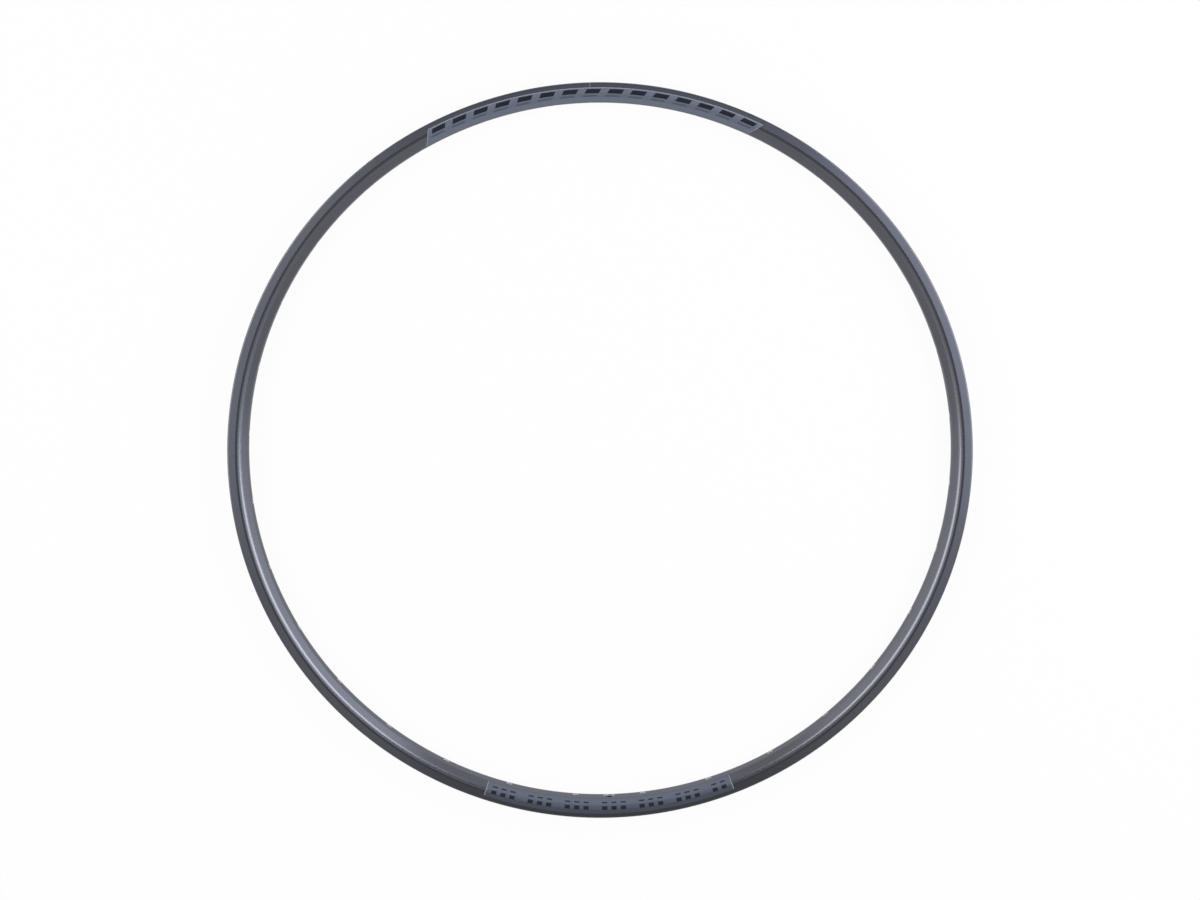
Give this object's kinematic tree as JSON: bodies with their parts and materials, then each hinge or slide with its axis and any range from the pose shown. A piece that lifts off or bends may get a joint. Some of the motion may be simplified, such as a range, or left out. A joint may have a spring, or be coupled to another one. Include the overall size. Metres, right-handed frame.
{
  "type": "bicycle rim",
  "caption": "Double-wall disc-brake bicycle rim: a rolled alloy hoop with hooked flanges for a tyre, radial spoke holes, a valve hole and a sleeved joint.",
  "frame": {"origin": "centre of the wheel, on the middle plane of the rim", "axes": "+Z along the wheel's axis, up from the side that the rim lies on; +Y to the joint of the hoop; -Y to the valve hole"},
  "size_m": [0.634, 0.634, 0.0244],
  "materials": {
    "black_alloy": "satin",
    "bare_alloy": "satin",
    "film": "satin"
  },
  "bodies": {
    "root": {"rim_hoop": "black_alloy", "joint_sleeve": "bare_alloy"}
  },
  "joints": []
}
